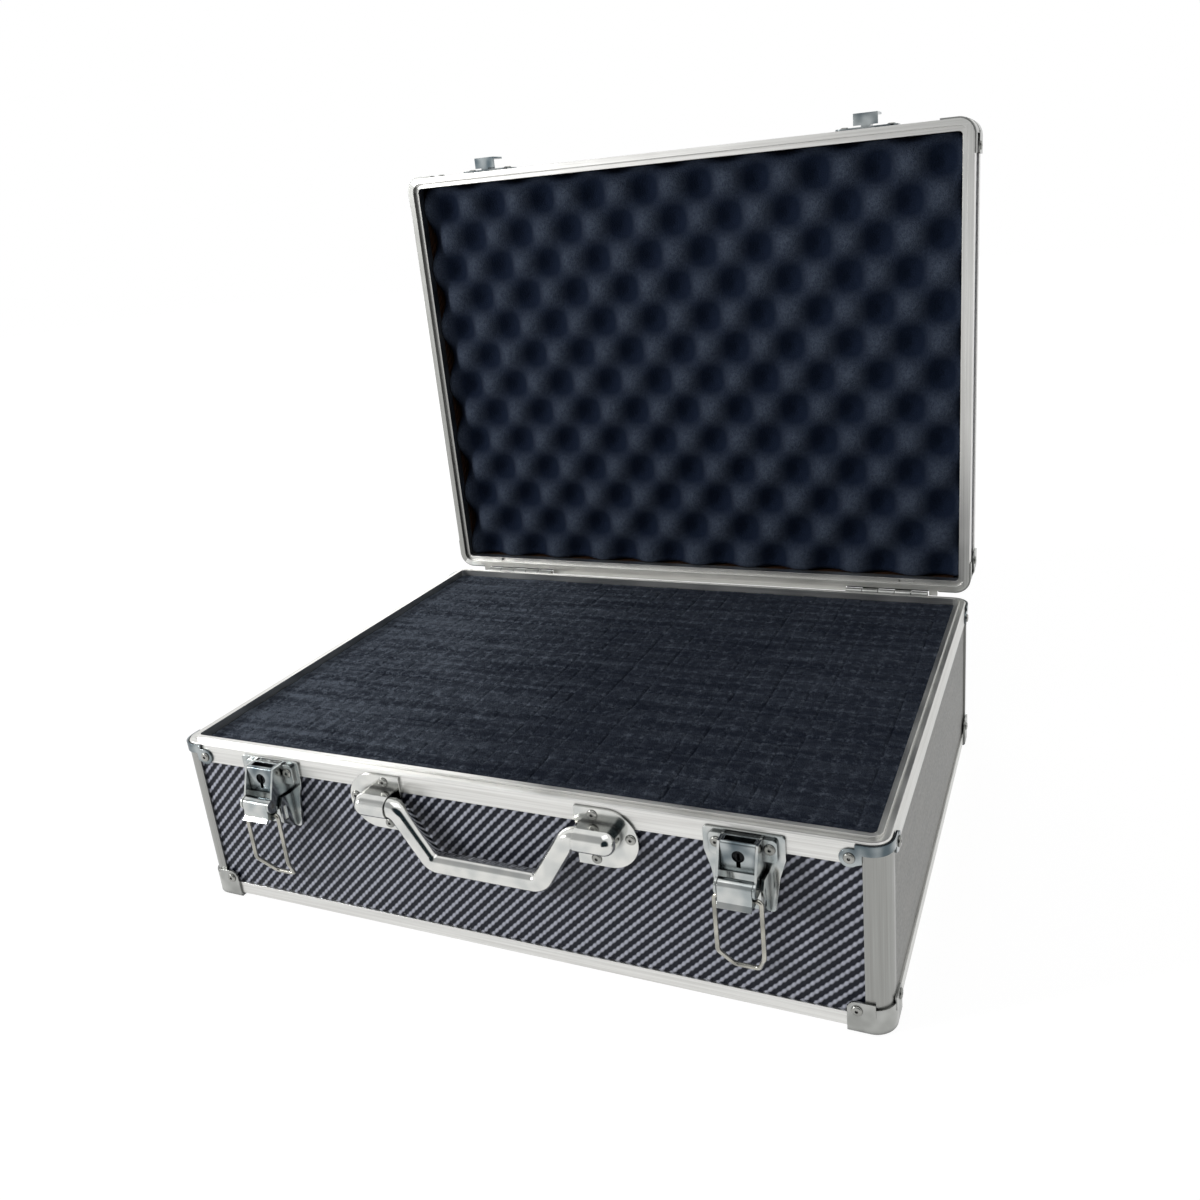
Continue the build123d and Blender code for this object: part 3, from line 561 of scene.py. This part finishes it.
class CASE_OT_fittings(bpy.types.Operator):
    """Gives corners, hinges, latches, catches and the grip their bright plate"""

    bl_idname = "tool_case.fittings"
    bl_label = "Plated fittings"

    def execute(self, context):
        kit = context.scene.case_metal
        rough = kit.plate_roughness
        silver = kit.plate, kit.thin_plate
        grey = linear("#B4B5B2"), linear("#989996")
        pale = linear("#DEDEDA"), linear("#C9CBC9")
        warm = linear("#B9B7AE"), linear("#8E8D86")
        # The teal grey plate of the locks, catches and rim brackets is a darker copy of the chrome:
        # painted dark reflection.
        dark = linear("#AEB4B5"), linear("#566268")
        pressed = bright_plate("steel_pressed_chrome_plated", *silver, rough, wave=0.3)
        satin = bright_plate("steel_pressed_satin_plated", *grey, rough + 0.16, wave=0.15)
        cast = bright_plate("zinc_cast_chrome_plated", *pale, rough - 0.03, wave=0.1)
        wire = bright_plate("steel_wire_drawn_nickel_plated", *warm, rough + 0.06, wave=0.1)
        lock = bright_plate("zinc_cast_chrome_plated_painted_dark_reflection", *dark, rough + 0.04, wave=0.2)
        for corner in CORNERS:
            dress(satin, f"base_foot_corner_{corner}")
            dress(satin, f"lid_corner_{corner}")
        dress(lock, "base_rim_brackets")
        for side in PAIR:
            dress(satin, f"hinge_base_leaf_{side}", f"hinge_lid_leaf_{side}")
            dress(pressed, f"latch_plate_{side}", f"latch_lever_{side}")
            dress(lock, f"lock_housing_{side}", f"lid_catch_{side}")
            dress(cast, f"handle_mount_{side}")
            dress(wire, f"latch_bail_{side}")
        dress(cast, "handle")
        dress(wire, "hinge_pins", "latch_pins")
        return {"FINISHED"}


class CASE_OT_small_parts(bpy.types.Operator):
    """Gives the rivets and the lock plugs their metal"""

    bl_idname = "tool_case.small_parts"
    bl_label = "Rivets and plugs"

    def execute(self, context):
        dull = linear("#A6A6A2"), linear("#82837F")
        rivet = bright_plate("aluminium_rivet_headed", *dull, roughness=0.24, wave=0.1, corner=1.8 * MM)
        plug = key_plug_steel("steel_turned_blackened")
        dress(rivet, "base_rivets", "lid_rivets")
        dress(plug, *[f"lock_plug_{side}" for side in PAIR])
        return {"FINISHED"}


class CASE_OT_cube_foam(bpy.types.Operator):
    """Cuts the base's foam into cubes, uneven as the knife leaves them"""

    bl_idname = "tool_case.cube_foam"
    bl_label = "Cut foam"

    def execute(self, context):
        kit = context.scene.case_foam
        low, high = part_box("base_pluck_foam")
        # A cut's flank ends at its shoulder, and the cube's rounded rim goes on a little further.
        shoulder = 0.9 * MM
        rim = 1.5 * shoulder
        steepness = 0.8
        # The cubes' tops lie this much under the CAD block's, and their edges a little lower still.
        trim, rounding = 0.2 * MM, 0.18 * MM
        # A point on a cut belongs to the cube after it, whatever its last digit.
        hair = 1e-6
        xs, step_x, count_x = cube_lines(low.x, high.x, kit.cell, shoulder)
        ys, step_y, count_y = cube_lines(low.y, high.y, kit.cell, shoulder)
        chance = random.Random(kit.seed)
        # Every cut gapes by its own amount, and every cube and row stands a little high or low. The cuts
        # that run from left to right are the deeper ones.
        cube_spread, row_spread = 0.16 * MM, 0.22 * MM
        cut_x = [chance.uniform(0.1, 0.75) for _ in range(count_x + 1)]
        cut_y = [chance.uniform(0.25, 1.0) ** 0.7 for _ in range(count_y + 1)]
        gape_x = [[chance.uniform(0.3, 1.0) for _ in range(count_y)] for _ in range(count_x + 1)]
        gape_y = [[chance.uniform(0.3, 1.0) for _ in range(count_x)] for _ in range(count_y + 1)]
        stand = [[chance.gauss(0.0, cube_spread) for _ in range(count_x)] for _ in range(count_y)]
        row_stand = [chance.gauss(0.0, row_spread) for _ in range(count_y)]

        def flank(far):
            """How much of a cut's depth is left at a distance from its middle."""
            return max(0.0, 1 - far / shoulder) ** steepness

        def height(x, y):
            """The cut top's height at a place: its cube's top, less the cuts on either side."""
            u, v = (x - low.x) / step_x, (y - low.y) / step_y
            i, j = min(int(u + hair), count_x - 1), min(int(v + hair), count_y - 1)
            near_x, near_y = round(u), round(v)
            far_x, far_y = abs(u - near_x) * step_x, abs(v - near_y) * step_y
            z = high.z - trim + stand[j][i] + row_stand[j]
            if 0 < near_x < count_x:
                z -= kit.cut_depth * cut_x[near_x] * gape_x[near_x][j] * flank(far_x)
            if 0 < near_y < count_y:
                z -= kit.cut_depth * cut_y[near_y] * gape_y[near_y][i] * flank(far_y)
            if min(far_x, far_y) < rim:
                z -= rounding
            return z

        piece = relief_block("cut_foam", low, high, xs, ys, height, as_it_lies)

        def rows(tree, point):
            """The knife's rows, light and dark, the torn light edges, and painted light at the left."""
            # The knife's rows are 12.5 mm wide and about 110 mm long, given here as rows per metre.
            drawn = add(tree, "Mapping", {"Vector": point, "Scale": (9.0, 80.0, 0.0)})
            grain = {"Scale": 1.0, "Detail": 4.0, "Roughness": 0.65}
            streak = add(tree, "TexNoise", {"Vector": drawn, **grain})
            shades = (streak, 0.36, 0.66, 0.2, 0.75)
            shade = add(tree, "MapRange", shades, interpolation_type="SMOOTHSTEP")
            tear = 3.2 * MM
            ragged = {"Scale": 1 / tear, "Detail": 3.0, "Roughness": 0.7}
            torn = add(tree, "TexNoise", {"Vector": point, **ragged})
            torn = add(tree, "MapRange", (torn, 0.4, 0.75, 0.0, 1.1), interpolation_type="SMOOTHSTEP")
            # The tear's light is full this near to a cut and gone this far from it, in cubes.
            full, gone = 0.06, 0.46
            for axis, start, step in ((X, low.x, step_x), (Y, low.y, step_y)):
                place = add(tree, "SeparateXYZ", (point,), axis)
                place = add(tree, "Math", (place, start), operation="SUBTRACT")
                place = add(tree, "Math", (place, step / 2), operation="PINGPONG")
                span = (place, gone * step, full * step)
                edge = add(tree, "MapRange", span, interpolation_type="SMOOTHSTEP")
                shade = add(tree, "Math", (edge, torn, shade), operation="MULTIPLY_ADD")
            # Painted shade: down in a cut it is darker.
            deep, shallow = high.z - 1.7 * MM, high.z - 0.6 * MM
            level = add(tree, "SeparateXYZ", (point,), Z)
            cut = add(tree, "MapRange", (level, deep, shallow, 0.25, 1.0))
            shade = add(tree, "Math", (shade, cut), operation="MULTIPLY")
            # Painted light fades from the left end to a little right of the middle.
            lit_left, unpainted, light_end = 1.35, 0.38, 0.03
            along = add(tree, "SeparateXYZ", (point,), X)
            fall = (along, low.x, light_end, lit_left, unpainted)
            side_light = add(tree, "MapRange", fall, interpolation_type="SMOOTHSTEP")
            return add(tree, "Math", (shade, side_light), operation="MULTIPLY")

        shades = (kit.base_dark, kit.base_light)
        foam = open_cell_foam("polyurethane_foam_knife_cut", *shades, clouds=0.3, shade=rows)
        piece.data.materials.append(foam)
        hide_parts("base_pluck_foam")
        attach(piece, "base")
        return {"FINISHED"}


class CASE_OT_foam_sheet(bpy.types.Operator):
    """Lays the plain foam sheet under the cut foam"""

    bl_idname = "tool_case.foam_sheet"
    bl_label = "Foam sheet"

    def execute(self, context):
        kit = context.scene.case_foam
        low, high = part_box("base_foam_pad")
        tile, border = 40 * MM, 4 * MM
        xs, _, _ = cube_lines(low.x, high.x, tile, border)
        ys, _, _ = cube_lines(low.y, high.y, tile, border)
        sunk, reach = 0.8 * MM, 3 * MM

        def height(x, y):
            """The sheet's top, which sinks at its rim."""
            edge = min(x - low.x, high.x - x, y - low.y, high.y - y)
            return high.z - sunk * math.exp(-edge / reach)

        piece = relief_block("foam_sheet", low, high, xs, ys, height, as_it_lies)

        def even(tree, point):
            """The same light everywhere."""
            return 1.0

        shades = (kit.base_dark, kit.base_light)
        foam = open_cell_foam("polyurethane_foam_sheet", *shades, clouds=0.3, shade=even)
        piece.data.materials.append(foam)
        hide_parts("base_foam_pad")
        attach(piece, "base")
        return {"FINISHED"}


class CASE_OT_crate_foam(bpy.types.Operator):
    """Cuts the lid's egg-crate foam into its peaks and dimples"""

    bl_idname = "tool_case.crate_foam"
    bl_label = "Egg-crate foam"

    def execute(self, context):
        kit = context.scene.case_foam
        low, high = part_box("lid_foam")
        # One dimple's place in the lid, from which the rows are counted.
        dimple_x, dimple_z = -87.5 * MM, 256.6 * MM
        # The peaks stay this much under the CAD block's face, and each long wave rolls it by the second.
        trim, roll = 0.9 * MM, 0.18 * MM
        # Over 1, this makes the dimples narrower and the peaks broader.
        narrowing = 1.15
        fine = 3.0 * MM
        count_x = round((high.x - low.x) / fine)
        count_z = round((high.z - low.z) / fine)
        xs = [low.x + (high.x - low.x) * i / count_x for i in range(count_x + 1)]
        zs = [low.z + (high.z - low.z) * j / count_z for j in range(count_z + 1)]
        chance = random.Random(kit.seed + 1)
        # The face's roll is of long waves: how fast each runs across and up, and where it starts.
        ripple = [
            (chance.uniform(20, 60), chance.uniform(20, 60), chance.uniform(0, 6.28)) for _ in range(5)
        ]
        thick = high.y - low.y

        def depth(x, z):
            """How far the foam stands out from the lid's board at a place."""
            wave = math.cos(2 * math.pi * (x - dimple_x) / kit.crate_pitch)
            wave *= math.cos(math.pi * (z - dimple_z) / kit.crate_row)
            wobble = sum(math.sin(a * x + b * z + c) for a, b, c in ripple) * roll
            hollow = kit.crate_depth * (0.5 + 0.5 * wave) ** narrowing
            return thick - trim - hollow + wobble

        def in_the_lid(x, z, out):
            """The place in the raised lid of a point of the foam."""
            return x, high.y - out, z

        lying_low = Vector((low.x, low.z, 0.0))
        lying_high = Vector((high.x, high.z, thick))
        piece = relief_block("crate_foam", lying_low, lying_high, xs, zs, depth, in_the_lid)

        def hollows(tree, point):
            """Painted light and shade: the dimples are painted dark, and the peaks light."""
            peak, dimple = low.y + 0.8 * MM, low.y + 0.7 * kit.crate_depth
            level = add(tree, "SeparateXYZ", (point,), Y)
            return add(tree, "MapRange", (level, peak, dimple, 1.3, 0.0))

        shades = (kit.lid_dark, kit.lid_light)
        foam = open_cell_foam("polyurethane_foam_convoluted", *shades, clouds=0.1, shade=hollows)
        piece.data.materials.append(foam)
        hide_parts("lid_foam")
        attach(piece, "lid")
        return {"FINISHED"}


class CASE_OT_stage(bpy.types.Operator):
    """Sets the pale floor, the soft light and the camera"""

    bl_idname = "tool_case.stage"
    bl_label = "Stage"

    def floor(self, kit):
        """A wide pale floor that the camera sees as white, with the case's soft shadow."""
        mesh = bmesh.new()
        half_width = 6.0
        bmesh.ops.create_grid(mesh, x_segments=4, y_segments=4, size=half_width)
        data = bpy.data.meshes.new("floor")
        mesh.to_mesh(data)
        mesh.free()
        floor = bpy.data.objects.new("floor", data)
        bpy.context.scene.collection.objects.link(floor)
        material, tree, point = new_material("paper_floor")
        cloud = 25 * MM
        fibre = add(tree, "TexNoise", {"Vector": point, "Scale": 1 / cloud})
        paint = {"Factor": fibre, FIRST: kit.floor_colour, SECOND: linear("#F0F0EF")}
        colour = add(tree, "Mix", paint, MIXED, data_type="RGBA")
        paper = add(tree, "BsdfDiffuse", (colour,))
        # A little over white, because near the case part of what the camera sees is the dimmer lit paper.
        white = add(tree, "Emission", {"Strength": 1.1})
        # Further out than any shadow reaches, the floor is as white as the room behind it.
        shadow_end, open_start, near_share = 0.7, 1.5, 0.85
        away = add(tree, "VectorMath", (point,), "Value", operation="LENGTH")
        spread = (away, shadow_end, open_start, near_share, 1.0)
        open_floor = add(tree, "MapRange", spread, interpolation_type="SMOOTHSTEP")
        seen = add(tree, "LightPath", out="Is Camera Ray")
        seen = add(tree, "Math", (seen, open_floor), operation="MULTIPLY")
        mirrored_share = 0.7
        glossy = add(tree, "LightPath", out="Is Glossy Ray")
        glossy = add(tree, "Math", (glossy, mirrored_share), operation="MULTIPLY")
        clear = add(tree, "LightPath", out="Is Transmission Ray")
        share = add(tree, "Math", (seen, glossy), operation="MAXIMUM")
        share = add(tree, "Math", (share, clear), operation="MAXIMUM")
        add(tree, "OutputMaterial", (add(tree, "MixShader", (share, paper, white)),))
        floor.data.materials.append(material)

    def room(self, kit):
        """Even light for the case, white for the camera, and a room with dark patches for its metal."""
        world = bpy.data.worlds.new("room")
        world.use_nodes = True
        tree = world.node_tree
        tree.nodes.clear()
        way = add(tree, "TexCoord", out="Generated")
        dim = 0.0
        # The camera's side of the room is dark, and the room is dim higher up at its front and middle.
        # Each patch has its direction, the cosine at which its fading edge starts, and its darkness.
        fading = 0.14
        patches = (
            ((0.39, -0.87, 0.31), 0.76, 1.0),
            ((-0.35, -0.60, 0.72), 0.80, 0.55),
            ((0.35, -0.25, 0.9), 0.88, 0.25),
        )
        for toward, start, darkness in patches:
            near = add(tree, "VectorMath", (way, toward), "Value", operation="DOT_PRODUCT")
            edge = (near, start, start + fading, 0.0, darkness)
            near = add(tree, "MapRange", edge, interpolation_type="SMOOTHSTEP")
            dim = add(tree, "Math", (near, dim), operation="MAXIMUM")
        paint = {"Factor": dim, FIRST: WHITE, SECOND: linear("#1B282D")}
        mirrored = add(tree, "Background", (add(tree, "Mix", paint, MIXED, data_type="RGBA"), 1.0))
        even = add(tree, "Background", (WHITE, kit.sky))
        white = add(tree, "Background", (WHITE, 1.0))
        lit = add(tree, "MixShader", (add(tree, "LightPath", out="Is Glossy Ray"), even, mirrored))
        seen = add(tree, "LightPath", out="Is Camera Ray")
        clear = add(tree, "LightPath", out="Is Transmission Ray")
        share = add(tree, "Math", (seen, clear), operation="MAXIMUM")
        add(tree, "OutputWorld", (add(tree, "MixShader", (share, lit, white)),))
        bpy.context.scene.world = world

    def lamp(self, name, power, size, at):
        """A soft box of some width and height that looks at the middle of the case."""
        middle = Vector((0.0, 0.0, 0.15))
        data = bpy.data.lights.new(name, "AREA")
        data.energy = power
        data.shape = "RECTANGLE"
        data.size, data.size_y = size
        lamp = bpy.data.objects.new(name, data)
        lamp.location = at
        lamp.rotation_euler = (middle - Vector(at)).to_track_quat("-Z", "Y").to_euler()
        bpy.context.scene.collection.objects.link(lamp)

    def camera(self, kit):
        """The camera at the photograph's viewing angle, turned as the case's perspective in it shows."""
        data = bpy.data.cameras.new("camera")
        data.sensor_width = 36.0
        data.lens = kit.lens
        data.shift_x, data.shift_y = -0.03797, -0.03805
        data.clip_start, data.clip_end = 0.01, 50.0
        right = Vector((0.92155, 0.37906, -0.08398))
        up = Vector((-0.04449, 0.31798, 0.94705))
        back = Vector((0.38569, -0.86902, 0.30990))
        camera = bpy.data.objects.new("camera", data)
        turned = Matrix((right, up, back)).transposed().to_4x4()
        camera.matrix_world = Matrix.Translation(kit.camera_at) @ turned
        bpy.context.scene.collection.objects.link(camera)
        bpy.context.scene.camera = camera

    def execute(self, context):
        kit = context.scene.case_stage
        self.floor(kit)
        self.room(kit)
        self.lamp("key_box", kit.key_power, size=(0.4, 0.4), at=(-1.9, -1.4, 1.0))
        self.lamp("top_box", kit.top_power, size=(1.6, 1.2), at=(0.3, -0.3, 1.9))
        self.lamp("back_box", kit.back_power, size=(2.4, 1.0), at=(-0.9, 2.2, 1.1))
        self.camera(kit)
        context.scene.view_settings.view_transform = "Standard"
        return {"FINISHED"}


class CASE_PT_sidebar(bpy.types.Panel):
    """The case's settings and the steps that make it"""

    bl_label = "Tool Case"
    bl_space_type = "VIEW_3D"
    bl_region_type = "UI"
    bl_category = "Tool Case"

    def draw(self, context):
        for group in SETTINGS:
            box = self.layout.box()
            for key in SETTINGS[group].__annotations__:
                box.prop(getattr(context.scene, group), key)
        for step in STEPS:
            self.layout.operator(step.bl_idname)


SETTINGS = {
    "case_boards": CaseBoardSettings,
    "case_metal": CaseMetalSettings,
    "case_foam": CaseFoamSettings,
    "case_stage": CaseStageSettings,
}
STEPS = (
    CASE_OT_profiles,
    CASE_OT_boards,
    CASE_OT_fittings,
    CASE_OT_small_parts,
    CASE_OT_cube_foam,
    CASE_OT_foam_sheet,
    CASE_OT_crate_foam,
    CASE_OT_stage,
)


def register():
    """Adds the settings, the steps and the panel."""
    for name, group in SETTINGS.items():
        bpy.utils.register_class(group)
        setattr(bpy.types.Scene, name, PointerProperty(type=group))
    for step in STEPS + (CASE_PT_sidebar,):
        bpy.utils.register_class(step)


def unregister():
    """Takes them out again."""
    for step in reversed(STEPS + (CASE_PT_sidebar,)):
        bpy.utils.unregister_class(step)
    for name, group in SETTINGS.items():
        delattr(bpy.types.Scene, name)
        bpy.utils.unregister_class(group)


def main():
    """Runs every step in order."""
    register()
    for step in STEPS:
        group, name = step.bl_idname.split(".")
        getattr(getattr(bpy.ops, group), name)()


if __name__ == "__main__":
    main()
